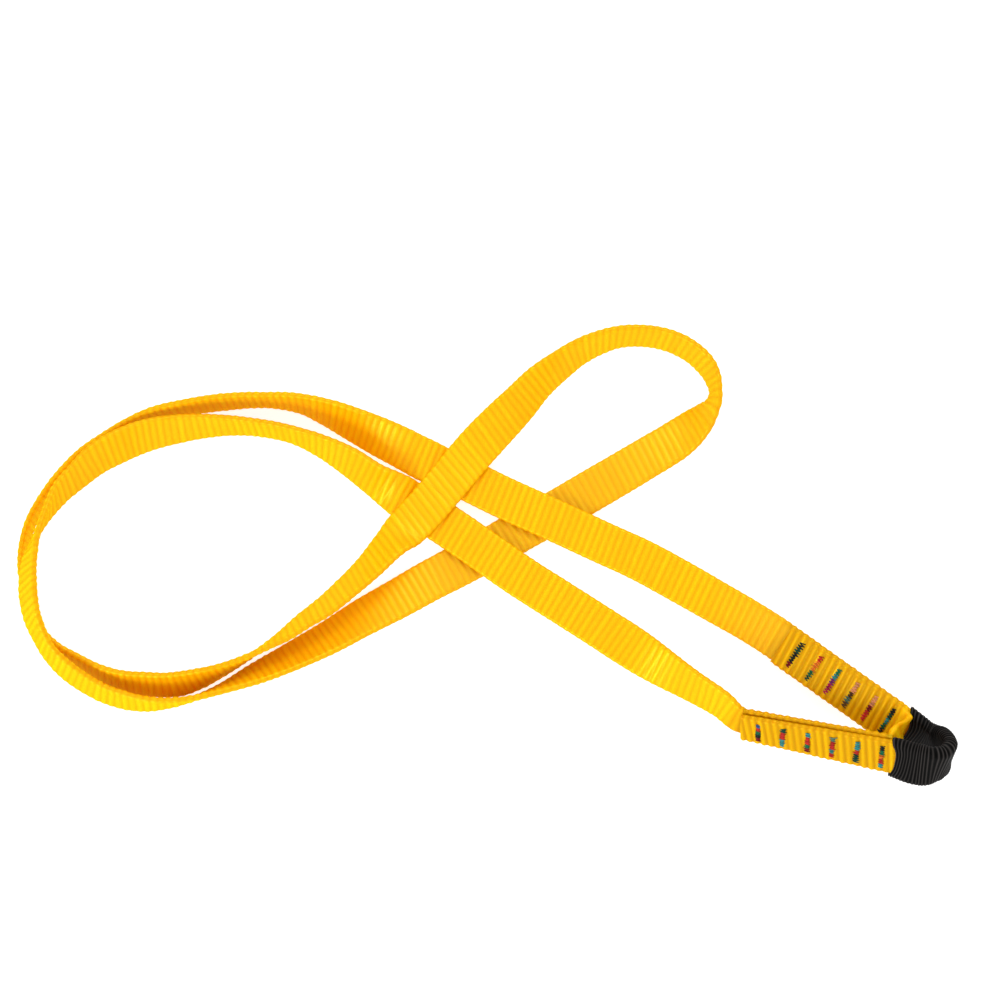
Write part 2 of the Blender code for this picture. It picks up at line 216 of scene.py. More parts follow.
TOWARDS_RIGHT = [
    (-138.5, 60, 9, 267),
    (-126, 63, 9, 266),
    (-110, 65.5, 9, 265),
    (-93, 66.5, 9, 267),
    (-77, 65, 9, 259),
    (-64, 60.5, 8.9, 243),
    (-53, 55.5, 8.6, 228),
    (-43.5, 51, 7.9, 215),
    (-34, 46.5, 6.8, 205),
    (-26, 42.5, 5.3, 196),
    (-17.5, 38.5, LAYER_2, 180),
    (-9, 34.5, LAYER_2, 180),
    (8, 26, LAYER_2, 180),
    (33, 14.5, LAYER_2, 180),
    (50, 6.5, LAYER_2, 180),
    (67, -1.5, 4.9, 184),
    (83, -10.5, 5.6, 193),
    (100, -20.5, 6.2, 201),
    (111, -27, 6.6, 205),
]

EYE = [
    (177.3, -73.8, 13.2, 236),
    (181.8, -76, 13, 248),
    (185.5, -77.9, 13.6, 252),
    (188.4, -80.2, 15.8, 258),
    (189.7, -83.2, 19.4, 267),
    (189.1, -86.4, 23.2, 279),
    (186.6, -88.9, 26, 292),
    (182.6, -90, 27, 304),
    (177.8, -89.4, 26.2, 311),
]

# Folds: a point under each hinge and the level direction out over the fold
LEFT_BEND = ((-45.2, 11.2, 0.0), (-1.0, 0.0, 0.0))
FAR_BEND = ((33.9, 49.3, 0.0), (0.768, 0.640, 0.0))
SEWN_BEND = ((70.7, -22.6, 0.0), (0.866, -0.5, 0.0))

# Spots near which the lengths of webbing meet: between two ribs, where nothing
# bends
SPLIT_SPOTS = ((-24.2, 19.8, 4.5), (26.3, 17.6, 1.4), (-17.2, 28.1, 7.7), (-11.0, 35.6, 4.5))

# Bar tack threads. A stroke rises from the webbing, crosses the bed stitches
# and dips in again: STROKE_LIFTS are its heights in mm.
THREAD_RADIUS = 0.23 * MM
BED_RADIUS = THREAD_RADIUS * 0.9
BED_LANES = (-0.25, 0.25)
BED_REACH = 0.48
BED_POINTS = 12
# The bed stitches are painted darker, as shade under the strokes.
BED_SHADE = 0.8
TACK_CLEARANCE = 0.02 * MM
TACK_LENGTH = 12.4 * MM
TACK_WIDTH = 3.0 * MM
TACK_STROKES = 20
STROKE_LIFTS = (-0.16, 0.30, 0.40, 0.30, -0.16)
STROKE_WIDTHS = (0.55, 1.15)
STROKE_SHADES = (0.65, 1.25)

# How the webbing is drawn in under a tack, and how far the sewing shows on it
PUCKER_DEPTH = 0.38 * MM
PUCKER_SPREAD = 1.6 * MM
PUCKER_HALF_LENGTH = 7.2 * MM
PUCKER_FADE = 1.25
PUCKER_FLATTENING = 0.9
SEWN_REACH = 3.5 * MM
SEWN_BEFORE = 6 * MM
SEWN_BEYOND = 3 * MM
SEWN_EASE = 4 * MM
SEWN_INSIDE_LOSS = 0.7
SEWN_OUTSIDE_GAIN = 0.9

# Sleeve on the eye: points near its two mouths, and its size
SLEEVE_SPOTS = ((175.8, -73.0, 13.4), (169.3, -86.4, 24.4))
SLEEVE_FACE_POINTS = 12
SLEEVE_EDGE_POINTS = 10
SLEEVE_WALL = 0.6 * MM
SLEEVE_EASE = 0.5 * MM
SLEEVE_SLACK = 0.5 * MM
SLEEVE_EAR = 2.6 * MM
SLEEVE_MOUTH = 8 * MM
SLEEVE_RIB_PITCH = 1.15 * MM
SLEEVE_RIB_HEIGHT = 0.26 * MM
SLEEVE_RINGS_PER_RIB = 6
SLEEVE_RIB_SHARES = (0.70, 0.30)
SLEEVE_YARN_PITCH = (0.43 * MM, 0.8 * MM)

# Skew of the ribs from square across: distance along in mm, degrees
RIB_SKEW = (
    (0, 6), (66, 6), (84, -4), (150, -2), (195, 2), (240, -4), (330, -4), (430, -3),
    (490, 3), (512, 10), (520, 15), (530, 23), (542, 21), (554, 15), (563, 10), (573, 2),
    (590, -5), (640, -3), (690, 0), (780, 1), (830, 6), (930, 5), (955, -5), (990, 11),
    (1035, 12), (1080, 8), (1180, 0), (1440, -4), (1700, -4), (1740, 7), (1810, 7),
)

# Painted shade along the strip, where it runs under the crossing and where it nears the sewn end:
# distance along in mm, share
SHADED_STRETCHES = (
    (0, 0.0), (640, 0.0), (700, 0.35), (730, 1.0), (790, 0.9), (830, 0.5), (880, 0.2),
    (930, 0.0), (1590, 0.0), (1608, 0.4), (1622, 0.9), (1640, 0.0), (1810, 0.0),
)

# Thread inks, and their order along each bar tack from its upper end
INK = {
    "black": (0.012, 0.018, 0.016),
    "green": (0.01, 0.16, 0.07),
    "dark_green": (0.008, 0.075, 0.045),
    "teal": (0.04, 0.30, 0.30),
    "grey": (0.10, 0.20, 0.14),
    "red": (0.62, 0.03, 0.02),
    "dark_red": (0.22, 0.008, 0.015),
    "crimson": (0.42, 0.01, 0.07),
    "purple": (0.20, 0.03, 0.16),
    "orange": (0.85, 0.20, 0.02),
    "peach": (0.80, 0.32, 0.14),
    "brown": (0.09, 0.04, 0.015),
    "blue": (0.03, 0.10, 0.25),
}
UPPER_INKS = (
    ("black", "dark_green", "black", "black", "dark_red"),
    ("red", "orange", "orange", "green", "dark_green"),
    ("green", "teal", "purple", "crimson", "crimson"),
    ("peach", "peach", "brown", "grey", "brown"),
    ("peach", "peach", "dark_red", "red", "red"),
    ("black", "dark_green", "teal", "green", "black"),
)
LOWER_INKS = (
    ("blue", "red", "green", "black", "dark_red"),
    ("dark_green", "red", "red", "teal", "teal"),
    ("teal", "red", "red", "green", "dark_red"),
    ("grey", "red", "red", "teal", "red"),
    ("teal", "teal", "red", "dark_green", "dark_green"),
    ("black", "green", "orange", "red", "teal"),
)

# Colours of the webbing: painted shade in the rib valleys, painted highlight on the rib crests and
# yarn tops, worn patches, painted shade over the sewn legs, over shaded stretches and along the
# edges, and sealed ends; of the sleeve, with painted shade in its valleys and a painted highlight
# on its rib tops; of the shaded side of a thread and of the floor
RIB_VALLEY_SHADE = (0.85, 0.350, 0.0, 1)
RIB_CREST_LIGHT = (0.95, 0.535, 0.002, 1)
YARN_TOP_LIGHT = (0.95, 0.555, 0.004, 1)
PATCH = (0.84, 0.37, 0.0, 1)
SEWN_VALLEY_SHADE = (0.44, 0.17, 0.0, 1)
SEWN_CREST_SHADE = (0.70, 0.34, 0.0, 1)
STRETCH_SHADE = (0.66, 0.33, 0.012, 1)
EDGE_SHADE = (0.66, 0.27, 0.0, 1)
SEALED = (0.55, 0.24, 0.004, 1)
GLOSS = (1.0, 0.80, 0.06, 1)
GLOSS_ROUGHNESS = 0.27
SLEEVE_VALLEY_SHADE = (0.0005, 0.0005, 0.0005, 1)
SLEEVE_CREST_HIGHLIGHT = (0.046, 0.041, 0.038, 1)
SLEEVE_FUZZ = (0.02, 0.018, 0.016, 1)
THREAD_DARK = (0.004, 0.004, 0.004, 1)
FLOOR_LIGHT = (0.52, 0.52, 0.52, 1)
FLOOR_DARK = (0.50, 0.50, 0.50, 1)
WHITE = (1, 1, 1, 1)

# How strongly each colour shows. Patches begin where the broad noise passes
# PATCH_START, the painted shade along the edges from its start share of the half width.
RIB_LIGHT_POWER = 0.7
YARN_LIGHT_SHARE = 1.1
PATCH_START = 0.42
PATCH_GAIN = 0.5
SEWN_SHADE_SHARE = 0.75
STRETCH_SHADE_SHARE = 0.55
EDGE_SHADE_START = 0.94
EDGE_SHADE_GAIN = 7.0
SEALED_SHARE = 0.35
SLEEVE_HIGHLIGHT_POWER = 4.0
FUZZ_SHARE = 0.08
THREAD_TWIST = 0.35 * MM
THREAD_SHADE = 0.62
TWIST_SHADE = 0.7

# Stage: floor and camera in metres, tilt up from level in degrees, lens in mm
FLOOR_HALF = 3
FLOOR_DROP = 0.15 * MM
FLOOR_GLOW = 0.75
WORLD_LIGHT = 1.02
CAMERA_TARGET = (0.0078, 0.0252, 0.0)
CAMERA_DISTANCE = 1.2
CAMERA_TILT = 79
CAMERA_LENS = 102.1
CAMERA_SENSOR = 36

# Strength of each rib in turn: the first of the random draws
rng = np.random.default_rng(7)
RIB_STRENGTH = rng.uniform(0.55, 1.1, 97)


# ---------------------------------------------------------------- strip
def leg_stations(leg, side, outwards):
    """Stations of one ply along a sewn leg, parallel to the leg's middle."""
    start, end = (np.array(p) for p in leg)
    length = np.linalg.norm(end[:3] - start[:3])
    heading = (end[:3] - start[:3]) / length
    if not outwards:
        heading = -heading
    level = np.cross((0, 0, 1), heading)
    level /= np.linalg.norm(level)
    rise = np.cross(heading, level)
    stations = []
    for along in (*LEG_STOPS, length - LEG_LAST_STOP, length):
        x, y, z, lean = start + (end - start) * along / length
        roll = 90 - lean if outwards else 90 + lean
        if side == "outer":
            roll += 180
        angle = math.radians(roll)
        face = math.sin(angle) * level - math.cos(angle) * rise
        x, y, z = np.array((x, y, z)) - face * PLY_OFFSET
        stations.append((x, y, z, roll))
    return stations if outwards else stations[::-1]


def even_slope(slope):
    """Slopes at the knots that never overshoot, so flat spans stay flat."""
    before, after = slope[:-1], slope[1:]
    same_way = before * after > 0
    total = np.where(same_way, before + after, 1.0)
    return np.where(same_way, 2 * before * after / total, 0.0)


def smooth_curve(stations, per_mm=5):
    """Fine samples of a smooth curve that passes through every station."""
    knots = np.array(stations, dtype=float)
    chord = np.linalg.norm(np.diff(knots[:, :3], axis=0), axis=1)
    slope = np.diff(knots, axis=0) / chord[:, None]
    tangent = np.empty_like(knots)
    tangent[0] = slope[0]
    tangent[-1] = slope[-1]
    before, after = chord[:-1, None], chord[1:, None]
    tangent[1:-1] = (slope[:-1] * after + slope[1:] * before) / (before + after)
    tangent[1:-1, 2:] = even_slope(slope[:, 2:])
    samples = []
    for i, span in enumerate(chord):
        count = max(2, int(round(span * per_mm)))
        u = (np.arange(count) / count)[:, None]
        samples.append(
            (2 * u**3 - 3 * u**2 + 1) * knots[i]
            + (u**3 - 2 * u**2 + u) * span * tangent[i]
            + (3 * u**2 - 2 * u**3) * knots[i + 1]
            + (u**3 - u**2) * span * tangent[i + 1]
        )
    samples.append(knots[-1:])
    return np.concatenate(samples)


def unit(rows):
    """Rows scaled to length one."""
    return rows / np.linalg.norm(rows, axis=-1, keepdims=True)


class Strip:
    """The strip's middle line with the frame carried along it."""

    def __init__(self, stations):
        fine = smooth_curve(stations)
        self.points = fine[:, :3] * MM
        steps = np.linalg.norm(np.diff(self.points, axis=0), axis=1)
        self.arc = np.concatenate([[0.0], np.cumsum(steps)])
        heading = unit(np.gradient(self.points, axis=0))
        level = unit(np.cross((0.0, 0.0, 1.0), heading))
        rise = np.cross(heading, level)
        roll = np.radians(fine[:, 3])[:, None]
        self.heading = heading
        self.across = np.cos(roll) * level + np.sin(roll) * rise
        self.face = np.sin(roll) * level - np.cos(roll) * rise

    def sample(self, table, arcs):
        """Rows of a table at distances along the strip."""
        columns = [np.interp(arcs, self.arc, table[:, k]) for k in range(3)]
        return np.stack(columns, axis=-1)

    def frames(self, arcs):
        """Middle, across and face directions at distances along the strip."""
        return (
            self.sample(self.points, arcs),
            unit(self.sample(self.across, arcs)),
            unit(self.sample(self.face, arcs)),
        )

    def nearest(self, point, low=0.0):
        """Distance along the strip, from a limit on, that is nearest a point."""
        span = self.arc >= low
        away = np.linalg.norm(self.points[span] - np.array(point) * MM, axis=1)
        return float(self.arc[span][int(np.argmin(away))])


def flat_outline(width, thickness, flat_count, edge_count):
    """Flattened tube: points, outward directions, distances round it, girth."""
    radius = thickness / 2
    straight = width - thickness
    bend = math.pi * radius
    lengths = (straight, bend, straight, bend)
    counts = (flat_count, edge_count, flat_count, edge_count)
    points, outward, around = [], [], []
    passed = 0.0
    for part, (length, count) in enumerate(zip(lengths, counts)):
        side = 1 if part < 2 else -1
        for k in range(count):
            t = k / count
            if part % 2 == 0:
                points.append((side * (t - 0.5) * straight, side * radius))
                outward.append((0.0, side))
            else:
                turn = math.pi * t
                way = (side * math.sin(turn), side * math.cos(turn))
                points.append((side * straight / 2 + way[0] * radius, way[1] * radius))
                outward.append(way)
            around.append(passed + t * length)
        passed += length
    return np.array(points), np.array(outward), np.array(around), passed


# ---------------------------------------------------------------- meshes
def add_piece(name, points, faces, material, attributes=()):
    """Smooth-shaded object with named point attributes."""
    mesh = bpy.data.meshes.new(name)
    mesh.from_pydata(points.tolist(), [], faces)
    for label, kind, values in attributes:
        layer = mesh.attributes.new(label, kind, "POINT")
        field = {"FLOAT": "value", "FLOAT_VECTOR": "vector", "FLOAT_COLOR": "color"}[kind]
        layer.data.foreach_set(field, np.asarray(values, np.float32).ravel())
    mesh.materials.append(material)
    mesh.shade_smooth()
    mesh.validate()
    obj = bpy.data.objects.new(name, mesh)
    bpy.context.scene.collection.objects.link(obj)
    return obj


def ring_faces(rings, count, first=0, capped=True, inside_out=False):
    """Faces of a skin over rings of points, closed at its two ends if asked."""
    faces = []
    for r in range(rings - 1):
        low = first + r * count
        high = low + count
        for k in range(count):
            j = (k + 1) % count
            faces.append((low + k, low + j, high + j, high + k))
    if capped:
        last = first + (rings - 1) * count
        faces.append(tuple(range(first + count - 1, first - 1, -1)))
        faces.append(tuple(range(last, last + count)))
    if inside_out:
        faces = [face[::-1] for face in faces]
    return faces


def weave_place(along, around, outline, shape):
    """Distance along, distance round and nearness to an edge at every point."""
    edge = np.abs(outline[:, 0]) / (WIDTH / 2)
    return np.stack([np.broadcast_to(v, shape) for v in (along, around, edge)], axis=-1)


def sewn_at(points):
    """How far each point of the middle line is sewn, and its dip at a tack."""
    sewn = np.zeros(len(points))
    dip = np.zeros(len(points))
    for leg, places in ((UPPER_LEG, UPPER_TACKS), (LOWER_LEG, LOWER_TACKS)):
        start, end = (np.array(p[:3]) * MM for p in leg)
        length = np.linalg.norm(end - start)
        heading = (end - start) / length
        along = (points - start) @ heading
        away = np.linalg.norm(points - start - along[:, None] * heading, axis=1)
        held = (along > -SEWN_BEFORE) & (along < length + SEWN_BEYOND)
        held &= away < SEWN_REACH
        ease = np.clip((length + SEWN_BEYOND - along) / SEWN_EASE, 0, 1)
        ease *= np.clip((along + SEWN_BEFORE) / SEWN_EASE, 0, 1)
        sewn = np.maximum(sewn, np.where(held, ease, 0.0))
        for place in places:
            gap = (along - place * MM) / PUCKER_SPREAD
            dip = np.maximum(dip, np.where(held, np.exp(-gap * gap), 0.0))
    return sewn, dip


def rib_heights(turns):
    """Rise and fall, 0 to 1, and strength of the ribs at counts of ribs."""
    strength = RIB_STRENGTH[np.floor(turns).astype(int) % len(RIB_STRENGTH)]
    return (0.5 - 0.5 * np.cos(2 * np.pi * turns)) ** RIB_SHARPNESS, strength


def webbing_piece(name, strip, start, end, material, cut_start=False, cut_end=False):
    """Length of ribbed tubular webbing between two distances along the strip."""
    step = RIB_PITCH / RINGS_PER_RIB
    arcs = np.linspace(start, end, int(round((end - start) / step)) + 1)
    outline, outward, around, _ = flat_outline(WIDTH, THICKNESS, FACE_POINTS, EDGE_POINTS)
    middle, across, face = strip.frames(arcs)
    sewn, dip = sewn_at(middle)
    # painted shade on the stretches of the strip that lie in shadow
    stretch_shade = np.interp(arcs / MM, *np.array(SHADED_STRETCHES, float).T)

    places, degrees = np.array(RIB_SKEW, float).T
    skew = np.tan(np.radians(np.interp(arcs / MM, places, degrees)))
    turns = (arcs[:, None] + skew[:, None] * outline[:, 0][None, :]) / RIB_PITCH
    wave, strength = rib_heights(turns)
    rib = wave * strength
    height = RIB_HEIGHT * (rib - 0.5)
    height *= (1 - (1 - EDGE_RIB_SHARE) * np.abs(outward[:, 0]))[None, :]
    inner_side = (outline[:, 1] > THICKNESS * FACE_SHARE)[None, :]
    height = np.where(inner_side, height * (1 - SEWN_INSIDE_LOSS * sewn[:, None]), height)
    height = np.where(~inner_side, height * (1 + SEWN_OUTSIDE_GAIN * sewn[:, None]), height)
    reach = np.abs(outline[:, 0]) / PUCKER_HALF_LENGTH
    pressed = np.clip(PUCKER_FADE - reach, 0, 1)[None, :]
    on_outside = (outline[:, 1] < -THICKNESS * FACE_SHARE)[None, :]
    stitched = np.where(on_outside, dip[:, None] * pressed, 0.0)
    height = height * (1 - PUCKER_FLATTENING * np.clip(stitched, 0, 1))
    height -= stitched * PUCKER_DEPTH
    hollow = FACE_HOLLOW * (1 - (outline[:, 0] / (WIDTH / 2)) ** 4)[None, :]
    height -= hollow * (np.abs(outward[:, 1]) > 0.99)[None, :]

    pinch = np.ones(len(arcs))
    scorch = np.zeros(len(arcs))
    for cut, gap in ((cut_start, arcs - start), (cut_end, end - arcs)):
        if cut:
            near = np.clip(1 - gap / SEAL_LENGTH, 0, 1)
            pinch *= 1 - SEAL_PINCH * near**2
            scorch = np.maximum(scorch, near)
    x = outline[:, 0][None, :] + outward[:, 0][None, :] * height
    z = (outline[:, 1][None, :] + outward[:, 1][None, :] * height) * pinch[:, None]
    points = middle[:, None] + x[..., None] * across[:, None] + z[..., None] * face[:, None]
    shape = x.shape
    return add_piece(
        name,
        points.reshape(-1, 3),
        ring_faces(len(arcs), len(outline)),
        material,
        (
            ("weave", "FLOAT_VECTOR", weave_place(arcs[:, None], around, outline, shape)),
            ("rib", "FLOAT", rib),
            ("scorch", "FLOAT", np.broadcast_to(scorch[:, None], shape)),
            ("sewn", "FLOAT", np.broadcast_to(sewn[:, None], shape)),
            ("stretch_shade", "FLOAT", np.broadcast_to(stretch_shade[:, None], shape)),
        ),
    )


def tube_along(path, up, radius, sides=6):
    """Points and faces of a round thread that follows a path."""
    tangent = unit(np.gradient(path, axis=0))
    side = unit(np.cross(tangent, up))
    top = np.cross(side, tangent)
    turn = np.arange(sides) * 2 * np.pi / sides
    ring = np.cos(turn)[None, :, None] * side[:, None] + np.sin(turn)[None, :, None] * top[:, None]
    points = (path[:, None] + radius * ring).reshape(-1, 3)
    return points, ring_faces(len(path), sides)


def tack_frame(leg, along):
    """Middle, heading, across and face directions of a leg at one tack."""
    start, end = (np.array(p) for p in leg)
    heading = end[:3] - start[:3]
    length = np.linalg.norm(heading)
    heading = heading / length
    x, y, z, lean = start + (end - start) * along / length
    level = unit(np.cross((0, 0, 1), heading))
    rise = np.cross(heading, level)
    angle = math.radians(90 - lean)
    across = math.cos(angle) * level + math.sin(angle) * rise
    face = math.sin(angle) * level - math.cos(angle) * rise
    return np.array((x, y, z)) * MM, heading, across, face


def bar_tack(name, leg, along, inks, material):
    """Zigzag stitching over a bed of long stitches, on both faces of a leg."""
    middle, heading, across, face = tack_frame(leg, along)
    surface = PLY_OFFSET * MM + THICKNESS / 2 - PUCKER_DEPTH + TACK_CLEARANCE
    points, faces, colours, lengths = [], [], [], []
    total = 0

    def add(path, up, colour, radius):
        nonlocal total
        tube, skin = tube_along(path, up, radius)
        points.append(tube)
        faces.extend(tuple(i + total for i in f) for f in skin)
        run = np.concatenate([[0.0], np.cumsum(np.linalg.norm(np.diff(path, axis=0), axis=1))])
        lengths.append(np.repeat(run, len(tube) // len(path)))
        colours.append(np.repeat(colour, len(tube) // len(path), axis=0))
        total += len(tube)

    for side in (1, -1):
        up = side * face
        base = middle + up * surface
        for lane in BED_LANES:
            t = np.linspace(BED_REACH, -BED_REACH, BED_POINTS)
            path = base + t[:, None] * TACK_LENGTH * across + lane * MM * heading
            shade = np.array([ink_at(inks, 0.5 - v) for v in t]) * BED_SHADE
            add(path, up, shade, BED_RADIUS)
        path, shade = [], []
        for stroke in range(TACK_STROKES):
            swing = side if stroke % 2 else -side
            width = rng.uniform(*STROKE_WIDTHS) * TACK_WIDTH
            tint = np.array(ink_at(inks, stroke / (TACK_STROKES - 1)))
            tint = tint * rng.uniform(*STROKE_SHADES)
            for k, lift in enumerate(STROKE_LIFTS):
                t = k / (len(STROKE_LIFTS) - 1)
                v = 0.5 - (stroke + t) / TACK_STROKES
                u = swing * (0.5 - t) * width
                path.append(base + v * TACK_LENGTH * across + u * heading + lift * MM * up)
                shade.append(tint)
        # each stroke after the first starts where the one before it ends
        keep = [k for k in range(len(path)) if k % len(STROKE_LIFTS) or k == 0]
        add(np.array(path)[keep], up, np.array(shade)[keep], THREAD_RADIUS)
    colours = np.concatenate(colours)
    colours = np.concatenate([np.clip(colours, 0, 1), np.ones((len(colours), 1))], axis=1)
    return add_piece(
        name,
        np.concatenate(points),
        faces,
        material,
        (("ink", "FLOAT_COLOR", colours), ("run", "FLOAT", np.concatenate(lengths))),
    )


def ink_at(inks, share):
    """Colour of the variegated thread at a share of the tack's length."""
    spot = min(max(share, 0.0), 0.999) * len(inks)
    return INK[inks[int(spot)]]


def sleeve(name, strip, start, end, material):
    """Open tube of narrow ribbed webbing around the outer ply's eye."""
    step = SLEEVE_RIB_PITCH / SLEEVE_RINGS_PER_RIB
    arcs = np.linspace(start, end, int(round((end - start) / step)) + 1)
    share = (arcs - start) / (end - start)
    slack = SLEEVE_EASE + SLEEVE_SLACK * np.sin(np.pi * share)
    mouth = np.clip(1 - np.minimum(arcs - start, end - arcs) / SLEEVE_MOUTH, 0, 1)
    way = np.where(share < 0.5, -1.0, 1.0)
    skins, faces, ribs, weaves = [], [], [], []
    first = 0
    for wall in (SLEEVE_WALL, 0.0):
        outline, outward, around, girth = flat_outline(
            WIDTH, THICKNESS, SLEEVE_FACE_POINTS, SLEEVE_EDGE_POINTS
        )
        turns = arcs[:, None] / SLEEVE_RIB_PITCH + around[None, :] / girth
        wave, strength = rib_heights(turns)
        rib = wave * (SLEEVE_RIB_SHARES[0] + SLEEVE_RIB_SHARES[1] * strength)
        height = slack[:, None] + wall + (SLEEVE_RIB_HEIGHT * (rib - 0.5) if wall else 0.0)
        x = outline[:, 0][None, :] + outward[:, 0][None, :] * height
        z = outline[:, 1][None, :] + outward[:, 1][None, :] * height
        ear = SLEEVE_EAR * (np.abs(outline[:, 0]) / (WIDTH / 2)) ** 3
        at = arcs[:, None] + way[:, None] * mouth[:, None] * ear[None, :]
        middle, across, face = strip.frames(at.ravel())
        points = middle + x.ravel()[:, None] * across + z.ravel()[:, None] * face
        skins.append(points)
        # the inner wall gets the painted rib highlight at half strength
        ribs.append(rib.ravel() if wall else rib.ravel() * 0.5)
        weaves.append(weave_place(at, around, outline, x.shape).reshape(-1, 3))
        faces += ring_faces(len(arcs), len(outline), first, capped=False, inside_out=not wall)
        first += len(points)
    count = len(outline)
    rings = len(arcs)
    for row, flip in ((0, True), (rings - 1, False)):
        out, inn = row * count, rings * count + row * count
        for k in range(count):
            j = (k + 1) % count
            rim = (out + k, out + j, inn + j, inn + k)
            faces.append(rim[::-1] if flip else rim)
    return add_piece(
        name,
        np.concatenate(skins),
        faces,
        material,
        (
            ("weave", "FLOAT_VECTOR", np.concatenate(weaves)),
            ("rib", "FLOAT", np.concatenate(ribs)),
        ),
    )


# ---------------------------------------------------------------- materials
class Nodes:
    """Short way to build a material's node tree."""

    def __init__(self, name):
        self.material = bpy.data.materials.new(name)
        self.material.use_nodes = True
        self.tree = self.material.node_tree
        self.shader = self.tree.nodes["Principled BSDF"]
        self.out = self.tree.nodes["Material Output"]

    def add(self, kind, inputs=(), **settings):
        """New node with its inputs set or linked."""
        node = self.tree.nodes.new(kind)
        for key, value in settings.items():
            setattr(node, key, value)
        for key, value in dict(inputs).items():
            self.set(node.inputs[key], value)
        return node

    def set(self, socket, value):
        """Link a socket to another, or give it a value."""
        if isinstance(value, bpy.types.NodeSocket):
            self.tree.links.new(value, socket)
        else:
            socket.default_value = value

    def math(self, operation, a, b=0.0, clamp=False):
        node = self.add("ShaderNodeMath", {0: a, 1: b}, operation=operation, use_clamp=clamp)
        return node.outputs[0]

    def scaled(self, value, factor, clamp=False):
        return self.math("MULTIPLY", value, factor, clamp)

    def attribute(self, name, output="Fac"):
        return self.add("ShaderNodeAttribute", attribute_name=name).outputs[output]

    def mix(self, share, a, b):
        node = self.add("ShaderNodeMix", data_type="RGBA")
        self.set(node.inputs[0], share)
        self.set(node.inputs[6], a)
        self.set(node.inputs[7], b)
        return node.outputs[2]

    def noise(self, scale, detail, vector=None):
        inputs = {"Scale": scale, "Detail": detail}
        if vector is not None:
            inputs["Vector"] = vector
        return self.add("ShaderNodeTexNoise", inputs).outputs["Fac"]

    def bump(self, height, strength, depth):
        """Normal of a surface raised by a height of 1 by a depth."""
        inputs = {"Strength": strength, "Distance": depth, "Height": height}
        return self.add("ShaderNodeBump", inputs).outputs[0]

    def shade(self, inputs):
        """Set or link inputs of the main shader."""
        for key, value in inputs.items():
            self.set(self.shader.inputs[key], value)

    def layer(self, share, below, above):
        """One surface showing through a share of another."""
        mixed = self.add("ShaderNodeMixShader", {0: share})
        self.set(mixed.inputs[1], below)
        self.set(mixed.inputs[2], above)
        return mixed.outputs[0]

    def finish(self, translucent=0.0, colour=None, gloss=0.0, shine=None, normal=None):
        """Add light through the cloth and a soft gloss, if asked, and close."""
        surface = self.shader.outputs[0]
        if translucent:
            back = self.add("ShaderNodeBsdfTranslucent", {"Color": colour})
            surface = self.layer(translucent, surface, back.outputs[0])
        if gloss:
            inputs = {"Color": shine, "Roughness": GLOSS_ROUGHNESS, "Normal": normal}
            sheen = self.add("ShaderNodeBsdfAnisotropic", inputs)
            surface = self.layer(gloss, surface, sheen.outputs[0])
        self.set(self.out.inputs["Surface"], surface)
        return self.material


def yarn_height(nodes, pitch):
    """Height of a fine plain weave, and how near a point is to an edge."""
    along_pitch, around_pitch = pitch
    place = nodes.add("ShaderNodeSeparateXYZ", {0: nodes.attribute("weave", "Vector")})
    along = nodes.math("DIVIDE", place.outputs[0], along_pitch)
    around = nodes.math("DIVIDE", place.outputs[1], around_pitch)
    row = nodes.math("FLOOR", along)
    shift = nodes.math("MULTIPLY", row, 0.5)
    column = nodes.math("FRACT", nodes.math("ADD", around, shift))
    across_yarn = nodes.math("PINGPONG", column, 0.5)
    along_yarn = nodes.math("PINGPONG", nodes.math("FRACT", along), 0.5)
    return nodes.math("MULTIPLY", across_yarn, along_yarn), place.outputs[2]


